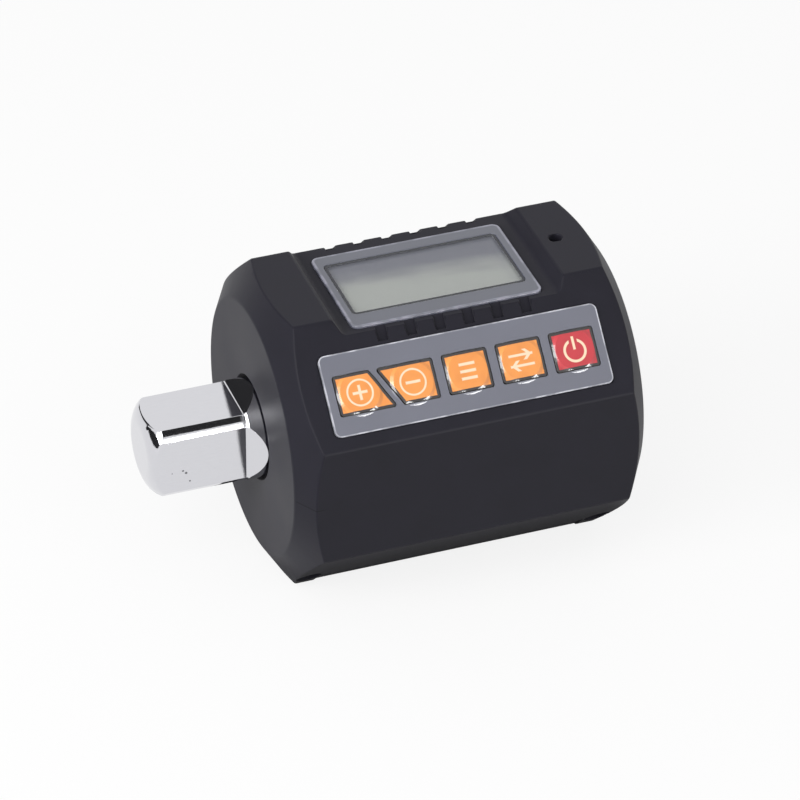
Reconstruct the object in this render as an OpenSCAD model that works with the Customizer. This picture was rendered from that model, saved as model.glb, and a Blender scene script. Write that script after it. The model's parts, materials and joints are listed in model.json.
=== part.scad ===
// Digital torque adapter. An octagonal plastic housing with a display and a keypad is
// carried on a steel torsion shaft, which has a square drive at one end and a square
// socket at the other. All lengths are in millimetres. The shaft lies along X, the
// display faces +Z, the keypad faces the sloping side towards -Y, and the origin is on
// the shaft's axis, in the plane of the housing's drive end.

/* [Housing] */
// Length from the battery bay to each end face
bay_end_room = 5.4; // [5.2:0.1:8]
// Height from the shaft's socket end to the cells
cell_shaft_gap = 1.7; // [1.6:0.1:3.5]
// Radius of the flat ring on each end face
end_ring_r = 21.1; // [20.5:0.1:22]
// Length of the end bevel, measured at the octagon's corners
bevel_len = 3.65; // [3:0.05:4]
// Thickness of the plastic wall
wall = 2.2; // [2:0.1:2.4]
// Thickness of the two end walls
end_wall = 2.6; // [2.4:0.1:3]
// Rounding along the octagon's long edges
edge_round = 0.8; // [0.3:0.1:1.5]

/* [Display recess] */
// Depth of the saddle recess below the top face
recess_depth = 2; // [1.7:0.1:2.2]
// Length of the raised block at the drive end
drive_block_len = 10; // [9:0.1:11]
// Length of the raised block at the socket end
socket_block_len = 10.4; // [10:0.1:11]
// Length that each sloping recess wall takes along the shaft
recess_run = 1.25; // [0.6:0.05:1.6]
// Number of grip notches along each long edge of the recess
notch_count = 6; // [2:1:7]
// Distance from notch to notch
notch_pitch = 4.8; // [4.2:0.1:4.8]
// Width of a notch
notch_w = 1.8; // [1:0.1:2.4]
// Length of a notch down the sloping face
notch_len = 1.9; // [1:0.1:2.1]
// Depth of a notch below the sloping face
notch_depth = 0.7; // [0.3:0.05:0.9]

/* [Display] */
// Length of the display window
window_l = 29.1; // [26:0.1:29.9]
// Width of the display window
window_w = 14.7; // [12:0.1:15]
// Width of the display plate beyond each end of the window
plate_end_w = 1.45; // [1.2:0.05:1.8]
// Width of the display plate beyond each side of the window
plate_side_w = 3; // [2:0.1:3.4]
// Thickness of the display plate
plate_t = 0.75; // [0.6:0.05:0.9]
// Height of the display plate above the recess floor
plate_proud = 0.35; // [0.2:0.05:0.5]
// Thickness of the liquid crystal panel
lcd_t = 1.75; // [1.4:0.05:1.9]

/* [Keypad] */
// Width of the overlay beyond each end of the row of keys
label_end_w = 1.6; // [1.2:0.05:2]
// Width of the overlay above and below the keys
label_side_w = 3.4; // [2.6:0.1:3.6]
// Thickness of the keypad overlay
label_t = 0.6; // [0.5:0.05:0.7]
// Height of the overlay above the sloping face
label_proud = 0.3; // [0.2:0.05:0.4]
// Width of a plain key
key_w = 7.25; // [6.8:0.05:7.4]
// Height of every key
key_h = 6.3; // [6:0.05:6.5]
// Width of the strip between two keys
key_space = 1.7; // [1.5:0.05:1.9]
// Width of the two slanted keys and the strip between them
pair_w = 16.35; // [16:0.05:16.5]
// Width of the strip between the slanted keys
pair_gap = 1.3; // [1.2:0.05:1.6]
// Sideways run of the slanted edges
pair_slant = 3.3; // [2.8:0.05:3.6]
// Travel of a key
key_travel = 0.3; // [0.2:0.05:0.35]
// Radius of the round cushion embossed in the film over each key
cushion_r = 3.85; // [3.6:0.05:3.9]
// Height of the embossed cushion
cushion_h = 0.25; // [0.15:0.05:0.4]

/* [Torsion shaft] */
// Size of the male square drive
drive_size = 12.7; // [12.5:0.05:12.75]
// Length of the drive beyond the housing
drive_len = 18.7; // [17:0.1:20]
// Radius of the turned bar that leaves the drive's corners
drive_corner_r = 8.03; // [7.8:0.01:8.04]
// Diameter of the round neck
neck_d = 16.3; // [16.1:0.1:16.6]
// Gap around the neck in the drive end of the housing
neck_gap = 0.55; // [0.45:0.05:0.65]
// Step from the neck down to the thinner section that carries the strain gauges
gauge_step = 0.65; // [0.4:0.05:1.1]
// Diameter of the socket end
socket_d = 22; // [21.6:0.1:22.2]
// Size of the square in the socket
socket_size = 12.83; // [12.76:0.01:12.89]
// Depth of the square in the socket
socket_depth = 17; // [16:0.1:18]
// Length of the socket end outside the housing
socket_proud = 0.5; // [0:0.1:1.5]
// Diameter of the detent ball
ball_d = 4.76; // [4.4:0.02:4.8]
// Travel of the detent ball
ball_travel = 0.9; // [0.5:0.05:1]

/* [Batteries] */
// Diameter of a cell
cell_d = 10.5; // [10.2:0.1:10.5]
// Length of a cell with its nub
cell_len = 44.5; // [43.8:0.1:44.6]
// Thickness of the battery cover
cover_t = 1.35; // [1.1:0.05:1.4]
// Gap around the battery cover
cover_gap = 0.2; // [0.15:0.05:0.25]
// Angle that the battery cover is shown open, in degrees
cover_open = 0; // [0:1:20]

/* [Hidden] */
$fn = 64;

// Shared values
overrun = 1;
bond = 0.05;
eighth_turn = 45;
arc_steps = 5;
cell_cover_gap = 0.25;
contact_t = 0.35;
spring_room = 2.9;
bay_len = cell_len + spring_room + 2 * contact_t + 2 * bond;
housing_len = bay_len + 2 * bay_end_room;
cell_stack = cell_d + cell_cover_gap + cover_t + cover_gap;
half_flats = socket_d / 2 + cell_shaft_gap + cell_stack;
across_flats = 2 * half_flats;
corner_r = half_flats / cos(eighth_turn / 2);
facet_sum = half_flats * sqrt(2);
mid = housing_len / 2;
reach = across_flats + housing_len;
bevel_slope = (corner_r - end_ring_r) / bevel_len;
ring_round = 1.2;

// Top of the housing
floor_z = half_flats - recess_depth;
ceiling_z = floor_z - wall;
recess_top_round = 0.6;
recess_foot_round = 1.2;
sound_hole_r = 1.1;
sound_hole_from_end = 7.6;
sound_hole_x = housing_len - sound_hole_from_end;

// Display plate, window and panel
plate_shift = [-0.4, -0.85];
plate_l = window_l + 2 * plate_end_w;
plate_w = window_w + 2 * plate_side_w;
window_shift = [-0.5, -0.4];
plate_corner_r = 1.3;
window_corner_r = 0.8;
plate_fit = 0.1;
plate_top_z = floor_z + plate_proud;
plate_low_z = plate_top_z - plate_t;
lens_sink = 0.05;
lens_t = 0.35;
lens_low_z = plate_top_z - lens_sink - lens_t;
lcd_margin = 0.45;
lcd_fit = 0.2;
lcd_low_z = plate_low_z - bond - lcd_t;
lcd_top_z = lens_low_z - bond;
lcd_l = window_l + 2 * lcd_margin;
lcd_w = window_w + 2 * lcd_margin;
lcd_glass_share = 0.45;

// Main circuit board, hung from the ceiling
board_t = 1.6;
zebra_h = 0.9;
zebra_w = 1.5;
zebra_end_gap = 1;
board_top_z = lcd_low_z - zebra_h;
board_low_z = board_top_z - board_t;
board_end_gap = 1.9;
board_x0 = end_wall + board_end_gap;
board_x1 = housing_len - board_x0;
board_side_inset = 1.5;
board_half_w = (facet_sum - wall * sqrt(2) - board_top_z) - board_side_inset;
board_hole_inset = 2.6;
post_r = 1.9;
board_screw_r = 0.7;
board_screw_bite = 2.2;
board_head_r = 1.5;
board_head_t = 1.1;
thread_fit = 0.02;
buzzer_d = 8;
buzzer_h = 1.7;
buzzer_gap = 0.3;
lcd_x1 = mid + window_shift[0] + lcd_l / 2;
buzzer_r = min(buzzer_d / 2, sound_hole_x - lcd_x1 - buzzer_gap);

// Keypad, in the plane of the sloping face
plain_keys = 3;
key_pitch = key_w + key_space;
row_l = pair_w + plain_keys * key_pitch;
label_shift = [-0.15, -1.55];
label_l = row_l + 2 * label_end_w;
label_w = key_h + 2 * label_side_w;
label_corner_r = 1.1;
label_fit = 0.1;
label_top = half_flats + label_proud;
label_low = label_top - label_t;
keys_drop = 0.2;
keys_v = label_shift[1] - keys_drop;
pair_u = label_shift[0] - row_l / 2;
mode_u = pair_u + pair_w + key_pitch - key_w / 2;
key_corner_r = 0.45;
key_gap = 0.15;
flange_w = 0.3;
cushion_rim = 0.65;
flange_t = 0.5;
flange_sink = 0.05;
flange_top = label_low - flange_sink;
flange_low = flange_top - flange_t;
flange_floor_gap = 0.1;
pocket_floor = flange_low - key_travel - flange_floor_gap;
plunger_r = 1.6;
plunger_hole_r = 1.9;
inner_face = half_flats - wall;
plunger_end = inner_face - bond;
switch_gap = key_travel + bond;
switch_top = plunger_end - switch_gap;
switch_h = 0.45;
switch_r = 2.4;
keypad_board_t = 1;
keypad_board_top = switch_top - switch_h;
keypad_board_low = keypad_board_top - keypad_board_t;
keypad_board_inset = 1.2;
keypad_board_side = 1.55;
keypad_board_l = label_l - 2 * keypad_board_inset;
keypad_board_w = key_h + 2 * keypad_board_side;
stake_inset = 1.3;
stake_pad_r = 1.2;
stake_r = 0.55;
stake_fit = 0.05;
stake_head_r = 0.95;
stake_head_t = 0.35;

// Torsion shaft
tip_x = -drive_len;
tip_face_r = 4;
tip_sweep = 54;
tip_round_r = (drive_corner_r - tip_face_r) / sin(tip_sweep);
flat_end_x = -2.8;
ramp_len = 3;
neck_step_x = -2.4;
neck_step_len = 0.3;
neck_hole_d = neck_d + 2 * neck_gap;
gauge_d = neck_d - 2 * gauge_step;
bush_clearance = 0.05;
bush_len = 4.6;
bush_wall = 2.3;
bush_seat_wall = 2;
bush_lip = 1.2;
bush_lip_gap = 0.45;
bush_x0 = end_wall;
bush_x1 = bush_x0 + bush_len;
bush_r = neck_d / 2 + bush_clearance + bush_wall;
neck_tail_len = 2.2;
neck_end_x = bush_x1 + neck_tail_len;
gauge_fillet = 2.4;
socket_floor_t = 3;
socket_len = socket_depth + socket_floor_t;
socket_end_x = housing_len + socket_proud;
socket_start_x = socket_end_x - socket_len;
shoulder_len = 3.5;
socket_edge = 0.6;
socket_hole_fit = 0.25;
socket_lead = 0.7;
pilot_depth = 3;
pilot_r = 6.2;
groove_r = 2.1;
groove_depth = 1.05;
groove_from_mouth = 8.5;
key_flat_depth = 1;
key_flat_y = socket_d / 2 - key_flat_depth;
key_flat_len = 6;
key_flat_from_end = 11.5;
key_flat_x0 = socket_end_x - key_flat_from_end - key_flat_len;
key_rib_fit = 0.05;
key_rib_h = 8;
gauge_flat_depth = 0.75;
gauge_flat = gauge_d / 2 - gauge_flat_depth;
ball_from_tip = 8;
ball_r = ball_d / 2;
ball_x = tip_x + ball_from_tip;
ball_y = drive_size / 2 + ball_travel - ball_r;
ball_bore_fit = 0.05;
ball_bore_floor = 1.5;
spring_wire_r = 0.25;
spring_bore_gap = 0.43;
spring_r = ball_r + ball_bore_fit - spring_bore_gap - spring_wire_r;
spring_turns = 5;
coil_steps = 16;
wire_sides = 6;

// Strain gauges and their flexible lead
patch_l = 6;
patch_w = 5;
patch_t = 0.15;
flex_t = 0.2;
flex_w = 5;
gauge_mid_x = (neck_end_x + socket_start_x - shoulder_len) / 2;

// Screws that close the housing
screw_from_end = 4.7;
screw_x = [screw_from_end, housing_len - screw_from_end];
screw_y = 14.2;
screw_r = 1;
screw_hole_r = 1.15;
screw_head_r = 1.85;
screw_head_t = 1.4;
counterbore_r = 2.05;
screw_seat_z = -9;
screw_tip_z = 6;
boss_top_z = 9;
boss_r = 2.9;
lip_h = 1;
lip_fit = 0.1;
lip_out_share = 0.5;

// Battery bay in the lower shell
cell_r = cell_d / 2;
cell_gap = 0.7;
cell_y = cell_r + cell_gap / 2;
cell_z = -half_flats + cover_gap + cover_t + cell_cover_gap + cell_r;
cell_round = 0.5;
nub_r = 1.9;
nub_h = 0.9;
bay_fit = 0.3;
bay_wall = 1.2;
bay_roof = 1.1;
bay_half_w = cell_y + cell_r + bay_fit;
bay_top_z = cell_z + cell_r + bay_fit;
bay_x0 = bay_end_room;
bay_x1 = bay_x0 + bay_len;
lip_len = 1.5;
opening_x0 = bay_x0 + lip_len;
opening_x1 = bay_x1 - lip_len;
bay_low_z = cell_z - cell_r - cell_cover_gap;
ledge_share = 2 / 3;
ledge_z = cell_z - cell_r * ledge_share;
cover_x0 = opening_x0 + cover_gap;
cover_x1 = opening_x1 - cover_gap;
cover_top_z = ledge_z - cover_gap;
cover_low_z = -half_flats + cover_gap;
cover_round = 0.5;
tilt_axis = [cover_x0 + cover_round, 0, cover_low_z + cover_round];
tongue_reach = 1.1;
tongue_w = 4;
tongue_t = 0.7;
tongue_lift = 0.2;
finger_r = 9;
finger_depth = 0.7;
finger_reach = 1.6;
grip_rib_count = 5;
grip_rib_pitch = 1.6;
grip_rib_w = 0.7;
grip_rib_l = 12;
grip_rib_depth = 0.3;
grip_from_end = 3.6;
battery_wire_r = 0.3;
battery_spring_r0 = 3.6;
battery_spring_r1 = 2.2;
battery_spring_turns = 3;
contact_side_gap = 0.6;
contact_low_gap = 1;
tail_w = 2.4;
tail_h = 2;
tail_from_side = 2.2;
lead_r = 0.55;
lead_sides = 8;

// Colours
housing_colour = [0.18, 0.17, 0.2];
label_colour = [0.48, 0.5, 0.56];
steel_colour = [0.8, 0.81, 0.83];
key_colour = [0.98, 0.58, 0.25];
power_colour = [0.85, 0.16, 0.24];
board_colour = [0.1, 0.4, 0.22];

// Points on an arc about [cx, cy], from angle a0 to angle a1
function arc(cx, cy, r, a0, a1, n = arc_steps) =
    [for (i = [0:n]) let (a = a0 + (a1 - a0) * i / n) [cx + r * cos(a), cy + r * sin(a)]];

function unit(v) = v / norm(v);
function mix(a, b, share) = a + (b - a) * share;
function turn(a) = a > 180 ? a - 360 : a < -180 ? a + 360 : a;

// The corner b of the outline a, b, c, rounded to radius r
function blend(a, b, c, r, n = arc_steps) =
    let (
        u = unit(a - b),
        v = unit(c - b),
        half = acos(u * v) / 2,
        o = b + unit(u + v) * r / sin(half),
        p = b + u * r / tan(half) - o,
        q = b + v * r / tan(half) - o,
        a0 = atan2(p[1], p[0]),
        sweep = turn(atan2(q[1], q[0]) - a0)
    )
    arc(o[0], o[1], r, a0, a0 + sweep, n);

// A closed outline with every corner rounded to radius r
function rounded(pts, r) =
    let (n = len(pts))
    [for (i = [0:n - 1]) each blend(pts[(i + n - 1) % n], pts[i], pts[(i + 1) % n], r)];

function box_outline(l, w) = [[-l / 2, -w / 2], [l / 2, -w / 2], [l / 2, w / 2], [-l / 2, w / 2]];

// The octagon across two flats, with rounded corners
function octagon(flats, r) =
    let (c = (flats / 2 - r) / cos(eighth_turn / 2))
    [for (k = [0:7])
        let (a = eighth_turn * k, b = a + eighth_turn / 2)
        each arc(c * cos(b), c * sin(b), r, a, a + eighth_turn)];

// Moves and turns
module along_x(from, to) {
    translate([from, 0, 0]) rotate([90, 0, 90]) linear_extrude(to - from) children();
}

module about_x() {
    rotate([0, 90, 0]) rotate_extrude() children();
}

// Extrudes an outline drawn in X and Z to both sides of the middle
module across_y(w) {
    translate([0, w / 2, 0]) rotate([90, 0, 0]) linear_extrude(w) children();
}

module on_keypad(low, high) {
    translate([mid, 0, 0]) rotate([eighth_turn, 0, 0])
        translate([0, 0, low]) linear_extrude(high - low) children();
}

module upper_half() {
    intersection() {
        translate([-reach, -reach, 0]) cube([3 * reach, 2 * reach, reach]);
        children();
    }
}

module lower_half() {
    intersection() {
        translate([-reach, -reach, -reach]) cube([3 * reach, 2 * reach, reach]);
        children();
    }
}

// Radius against length of the bevelled ends, set in by e from each end
function bevel_half(e) =
    let (phi = atan(1 / bevel_slope), t = ring_round * tan(phi / 2), grow = 2 * bevel_len)
    [
        [0, e],
        for (i = [0:arc_steps])
            let (a = phi * i / arc_steps)
            [end_ring_r - t + ring_round * sin(a), e + ring_round * (1 - cos(a))],
        [end_ring_r + bevel_slope * grow, e + grow]
    ];

module bevel_profile(e) {
    half = bevel_half(e);
    n = len(half);
    polygon(concat(half, [for (i = [1:n]) [half[n - i][0], housing_len - half[n - i][1]]]));
}

// The octagon with its bevelled ends, set in from the sides and the ends
module housing_form(inset = 0, end_inset = 0) {
    intersection() {
        along_x(0, housing_len)
            polygon(octagon(across_flats - 2 * inset, max(edge_round - inset, edge_round / 4)));
        about_x() bevel_profile(end_inset);
    }
}

// Room for the shaft in both shells. The key ribs reach into the socket's two flats.
module shaft_room() {
    difference() {
        about_x() polygon([
            [0, -overrun],
            [neck_hole_d / 2, -overrun],
            [neck_hole_d / 2, bush_x0],
            [bush_r + thread_fit, bush_x0],
            [bush_r + thread_fit, bush_x1 + thread_fit],
            [neck_d / 2 + bush_lip_gap, bush_x1 + thread_fit],
            [neck_d / 2 + bush_lip_gap, neck_end_x],
            [socket_d / 2 + socket_hole_fit, socket_start_x - shoulder_len],
            [socket_d / 2 + socket_hole_fit, housing_len + overrun],
            [0, housing_len + overrun]
        ]);
        key_ribs();
    }
}

module key_ribs() {
    rib_y = key_flat_y + key_rib_fit;
    for (side = [0, 1])
        mirror([0, side, 0])
            translate([key_flat_x0 + key_rib_fit, rib_y, -key_rib_h])
                cube([key_flat_len - 2 * key_rib_fit, half_flats - rib_y, 2 * key_rib_h]);
}

module bush_seat() {
    along_x(bush_x0 - end_wall / 2, bush_x1 + bush_lip) circle(bush_r + bush_seat_wall);
}

module screw_columns(low, high, r) {
    for (x = screw_x, side = [-1, 1])
        translate([x, side * screw_y, low]) cylinder(h = high - low, r = r);
}

// The ring along the parting line that locates one shell in the other
module parting_lip(fit) {
    intersection() {
        translate([-reach, -reach, -overrun]) cube([3 * reach, 2 * reach, overrun + lip_h + fit]);
        difference() {
            housing_form(wall * lip_out_share - fit, end_wall * lip_out_share - fit);
            housing_form(wall + bond, end_wall + bond);
        }
    }
}

// The saddle recess in the top, with sloping ends
module display_recess() {
    x0 = drive_block_len;
    x1 = housing_len - socket_block_len;
    top = half_flats + overrun;
    rise = overrun * recess_run / recess_depth;
    a = [x0 - rise, top];
    b = [x0, half_flats];
    c = [x0 + recess_run, floor_z];
    d = [x1 - recess_run, floor_z];
    e = [x1, half_flats];
    f = [x1 + rise, top];
    lip_l = [x0 - recess_top_round, half_flats];
    lip_r = [x1 + recess_top_round, half_flats];
    across_y(reach)
        polygon(concat(
            [[lip_l[0], top]],
            blend(lip_l - [recess_top_round, 0], b, c, recess_top_round),
            blend(b, c, d, recess_foot_round),
            blend(c, d, e, recess_foot_round),
            blend(d, e, lip_r + [recess_top_round, 0], recess_top_round),
            [[lip_r[0], top]]
        ));
}

// Grip notches where the recess floor meets the two sloping faces
module grip_notches() {
    edge_v = facet_sum - half_flats;
    floor_v = floor_z * sqrt(2) - half_flats;
    for (side = [0, 1], i = [0:notch_count - 1])
        mirror([0, side, 0])
            translate([mid + (i - (notch_count - 1) / 2) * notch_pitch, 0, 0])
                rotate([eighth_turn, 0, 0])
                    translate([-notch_w / 2, floor_v - notch_len, half_flats - notch_depth])
                        cube([notch_w, edge_v, notch_depth + overrun]);
}

// Outline of the display plate, the window and the panel, about their own middles
module plate_outline(grow = 0) {
    translate([mid + plate_shift[0], plate_shift[1]])
        polygon(rounded(box_outline(plate_l + 2 * grow, plate_w + 2 * grow), plate_corner_r));
}

module window_outline(grow = 0) {
    translate([mid + window_shift[0], window_shift[1]])
        polygon(rounded(box_outline(window_l + 2 * grow, window_w + 2 * grow), window_corner_r));
}

module raise(low, high) {
    translate([0, 0, low]) linear_extrude(high - low) children();
}

module display_cuts() {
    raise(plate_low_z, half_flats) plate_outline(plate_fit);
    raise(ceiling_z - overrun, half_flats)
        window_outline(lcd_margin + lcd_fit);
    translate([sound_hole_x, 0, ceiling_z - overrun])
        cylinder(h = half_flats - ceiling_z + 2 * overrun, r = sound_hole_r);
    translate([sound_hole_x, 0, ceiling_z - overrun])
        cylinder(h = overrun + buzzer_top_z() + buzzer_gap / 2 - ceiling_z, r = buzzer_r + buzzer_gap);
}

function buzzer_top_z() = board_top_z + buzzer_h;

// Key outlines in the plane of the sloping face, grown by g
function plain_key(i) = [mode_u + i * key_pitch, keys_v];
pair_top_w = (pair_w - pair_gap - pair_slant) / 2;
key_top_v = keys_v + key_h / 2;
key_low_v = keys_v - key_h / 2;
plus_points = [
    [pair_u, key_low_v],
    [pair_u + pair_top_w + pair_slant, key_low_v],
    [pair_u + pair_top_w, key_top_v],
    [pair_u, key_top_v]
];
minus_points = [for (p = plus_points) [2 * pair_u + pair_w - p[0], 2 * keys_v - p[1]]];
plus_mid = [pair_u + (pair_top_w + pair_slant / 2) / 2, keys_v];
minus_mid = [2 * pair_u + pair_w - plus_mid[0], keys_v];
key_mids = concat([plus_mid, minus_mid], [for (i = [0:plain_keys - 1]) plain_key(i)]);

module key_outline(k, grow = 0) {
    if (k == 0)
        offset_outline(plus_points, grow);
    else if (k == 1)
        offset_outline(minus_points, grow);
    else
        translate(plain_key(k - 2))
            polygon(rounded(box_outline(key_w + 2 * grow, key_h + 2 * grow), key_corner_r));
}

// A convex outline moved outwards by g on every side, then rounded
module offset_outline(pts, g) {
    n = len(pts);
    moved = [
        for (i = [0:n - 1])
            let (
                u = unit(pts[(i + n - 1) % n] - pts[i]),
                v = unit(pts[(i + 1) % n] - pts[i])
            )
            pts[i] - (u + v) * g / sqrt(1 - pow(u * v, 2))
    ];
    polygon(rounded(moved, key_corner_r));
}

module label_outline(grow = 0) {
    translate(label_shift)
        polygon(rounded(box_outline(label_l + 2 * grow, label_w + 2 * grow), label_corner_r));
}

module keypad_board_outline() {
    translate([label_shift[0], keys_v])
        square([keypad_board_l, keypad_board_w], center = true);
}

// Places of the four plastic stakes that hold the keypad board
module stakes() {
    for (su = [-1, 1], sv = [-1, 1])
        translate([
            label_shift[0] + su * (keypad_board_l / 2 - stake_inset),
            keys_v + sv * (keypad_board_w / 2 - stake_inset)
        ])
            children();
}

module keypad_cuts() {
    on_keypad(label_low, half_flats + overrun) label_outline(label_fit);
    for (k = [0:len(key_mids) - 1]) {
        on_keypad(pocket_floor, half_flats) key_outline(k, flange_w + key_gap);
        on_keypad(inner_face - overrun, half_flats)
            translate(key_mids[k]) circle(plunger_hole_r);
    }
}

module keypad_stakes() {
    stakes_high = inner_face + bond;
    on_keypad(keypad_board_top, stakes_high) stakes() circle(stake_pad_r);
    on_keypad(keypad_board_low - stake_head_t, stakes_high) stakes() circle(stake_r);
    on_keypad(keypad_board_low - stake_head_t, keypad_board_low) stakes() circle(stake_head_r);
}

module board_places() {
    for (x = [board_x0 + board_hole_inset, board_x1 - board_hole_inset], side = [-1, 1])
        translate([x, side * (board_half_w - board_hole_inset), 0])
            children();
}

module upper_shell() {
    color(housing_colour)
        difference() {
            union() {
                difference() {
                    upper_half() housing_form();
                    intersection() {
                        housing_form(wall, end_wall);
                        translate([-reach, -reach, -reach]) cube([3 * reach, 2 * reach, reach + ceiling_z]);
                    }
                }
                intersection() {
                    housing_form(wall / 2, end_wall / 2);
                    upper_half() union() {
                        bush_seat();
                        key_ribs();
                        screw_columns(0, boss_top_z, boss_r);
                        board_places()
                            translate([0, 0, board_top_z])
                                cylinder(h = ceiling_z - board_top_z + bond, r = post_r);
                    }
                }
                keypad_stakes();
            }
            shaft_room();
            parting_lip(lip_fit);
            display_recess();
            grip_notches();
            display_cuts();
            keypad_cuts();
            screw_columns(-overrun, screw_tip_z + overrun, screw_r + thread_fit);
            board_places()
                translate([0, 0, board_top_z - overrun])
                    cylinder(h = overrun + board_screw_bite + bond, r = board_screw_r + thread_fit);
        }
}

module battery_bay() {
    translate([bay_x0, -bay_half_w, bay_low_z])
        cube([bay_len, 2 * bay_half_w, bay_top_z - bay_low_z]);
    translate([opening_x0, -reach, -reach])
        cube([opening_x1 - opening_x0, 2 * reach, reach + ledge_z]);
}

// Places of the two solder tails at the drive end, in the bay's roof
module tail_places() {
    for (side = [0, 1])
        mirror([0, side, 0])
            translate([bay_x0, bay_half_w - tail_from_side, bay_top_z])
                children();
}

module lower_shell() {
    color(housing_colour)
        difference() {
            union() {
                difference() {
                    lower_half() housing_form();
                    housing_form(wall, end_wall);
                }
                intersection() {
                    housing_form(wall / 2, end_wall / 2);
                    lower_half() union() {
                        difference() {
                            bush_seat();
                            tail_places()
                                translate([0, -tail_w / 2 - bond, bay_roof]) cube(reach);
                        }
                        key_ribs();
                        screw_columns(-half_flats, 0, boss_r);
                        translate([bay_x0 - bay_wall, -bay_half_w - bay_wall, -half_flats])
                            cube([
                                bay_len + 2 * bay_wall,
                                2 * (bay_half_w + bay_wall),
                                half_flats + bay_top_z + bay_roof
                            ]);
                    }
                }
                parting_lip(0);
            }
            shaft_room();
            battery_bay();
            tail_places()
                translate([0, -tail_w / 2 - bond, -overrun])
                    cube([contact_t + 2 * bond, tail_w + 2 * bond, bay_roof + tail_h + 2 * overrun]);
            screw_columns(-reach, lip_h + overrun, screw_hole_r);
            screw_columns(-reach, screw_seat_z, counterbore_r);
            finger_recess();
        }
}

// A shallow scoop in the lower shell beside the cover's free end
module finger_recess() {
    translate([opening_x1 + finger_reach - finger_r, 0, -half_flats - overrun])
        cylinder(h = overrun + finger_depth, r = finger_r);
}

// Outline in X and Y that keeps the drive's flats, with a straight ramp up to the neck
function flat_limits() =
    let (h = drive_size / 2)
    [
        [tip_x - overrun, h],
        [flat_end_x, h],
        [flat_end_x + ramp_len, neck_d / 2 + bond],
        [flat_end_x + ramp_len, reach],
        [reach, reach]
    ];

module flat_pair() {
    upper = flat_limits();
    n = len(upper);
    polygon(concat(upper, [for (i = [1:n]) [upper[n - i][0], -upper[n - i][1]]]));
}

module shaft_form() {
    neck_r = neck_d / 2;
    gauge_r = gauge_d / 2;
    socket_r = socket_d / 2;
    fillet_start = 180 + acos(1 - gauge_step / gauge_fillet);
    intersection() {
        about_x() polygon(concat(
            [[0, tip_x]],
            arc(tip_face_r, tip_x + tip_round_r, tip_round_r, -90, -90 + tip_sweep),
            [
                [drive_corner_r, neck_step_x - neck_step_len],
                [neck_r, neck_step_x],
                [neck_r, neck_end_x]
            ],
            arc(gauge_r + gauge_fillet, neck_end_x + gauge_fillet, gauge_fillet, fillet_start, 180),
            [
                [gauge_r, socket_start_x - shoulder_len],
                [socket_r, socket_start_x],
                [socket_r, socket_end_x - socket_edge],
                [socket_r - socket_edge, socket_end_x],
                [0, socket_end_x]
            ]
        ));
        translate([0, 0, -reach]) linear_extrude(2 * reach) flat_pair();
        across_y(2 * reach) flat_pair();
    }
}

module square_along_x(size, from, to) {
    along_x(from, to) square(size, center = true);
}

module torsion_shaft() {
    socket_low_x = socket_end_x - socket_depth;
    color(steel_colour)
        difference() {
            shaft_form();
            square_along_x(socket_size, socket_low_x, socket_end_x + overrun);
            about_x() polygon([
                [0, socket_low_x - pilot_depth],
                [pilot_r, socket_low_x],
                [pilot_r, socket_low_x + overrun],
                [0, socket_low_x + overrun]
            ]);
            about_x() polygon([
                [0, socket_end_x - socket_lead],
                [socket_size / sqrt(2) - socket_lead, socket_end_x - socket_lead],
                [socket_size / sqrt(2) + overrun, socket_end_x + overrun],
                [0, socket_end_x + overrun]
            ]);
            for (a = [0, 90])
                translate([socket_end_x - groove_from_mouth, 0, 0]) rotate([a + 90, 0, 0])
                    cylinder(h = socket_size + 2 * groove_depth, r = groove_r, center = true);
            for (side = [0, 1])
                mirror([0, side, 0])
                    translate([key_flat_x0, key_flat_y, -socket_d])
                        cube([key_flat_len, socket_d, 2 * socket_d]);
            for (a = [0:90:270])
                rotate([a, 0, 0])
                    translate([gauge_mid_x - patch_l, -gauge_d, gauge_flat])
                        cube([2 * patch_l, 2 * gauge_d, gauge_d]);
            translate([ball_x, ball_bore_floor - drive_size / 2, 0]) rotate([-90, 0, 0])
                cylinder(h = drive_size, r = ball_r + ball_bore_fit);
        }
}

module neck_bush() {
    color("ivory")
        along_x(bush_x0 + bond, bush_x1)
            difference() {
                circle(bush_r);
                circle(neck_d / 2 + bush_clearance);
            }
}

module detent_ball() {
    color(steel_colour)
        translate([ball_x, ball_y, 0]) sphere(ball_r);
}

// One unbroken wire coil along +Z, from radius r0 to r1
module coil(r0, r1, height, turns, wire_r) {
    n = ceil(turns * coil_steps);
    rings = [
        for (i = [0:n])
            let (
                t = i / n,
                a = 360 * turns * t,
                r = r0 + (r1 - r0) * t,
                z = wire_r + (height - 2 * wire_r) * t
            )
            [for (k = [0:wire_sides - 1])
                let (b = 360 * k / wire_sides, q = r + wire_r * cos(b))
                [q * cos(a), q * sin(a), z + wire_r * sin(b)]]
    ];
    skin(rings);
}

// A closed tube through rings of points
module skin(rings) {
    n = len(rings);
    m = len(rings[0]);
    points = [for (ring = rings) each ring];
    sides = [
        for (i = [0:n - 2], k = [0:m - 1])
            let (a = i * m + k, b = i * m + (k + 1) % m)
            each [[a, b, b + m], [a, b + m, a + m]]
    ];
    ends = [[for (k = [0:m - 1]) m - 1 - k], [for (k = [0:m - 1]) (n - 1) * m + k]];
    polyhedron(points = points, faces = concat(sides, ends));
}

module detent_spring() {
    low_y = ball_bore_floor - drive_size / 2 + bond;
    high_y = ball_y - ball_r - bond;
    color("gray")
        translate([ball_x, low_y, 0]) rotate([-90, 0, 0])
            coil(spring_r, spring_r, high_y - low_y, spring_turns, spring_wire_r);
}

module display_bezel() {
    color(label_colour)
        difference() {
            raise(plate_low_z, plate_top_z) plate_outline();
            raise(plate_low_z - overrun, plate_top_z + overrun) window_outline();
        }
}

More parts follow.
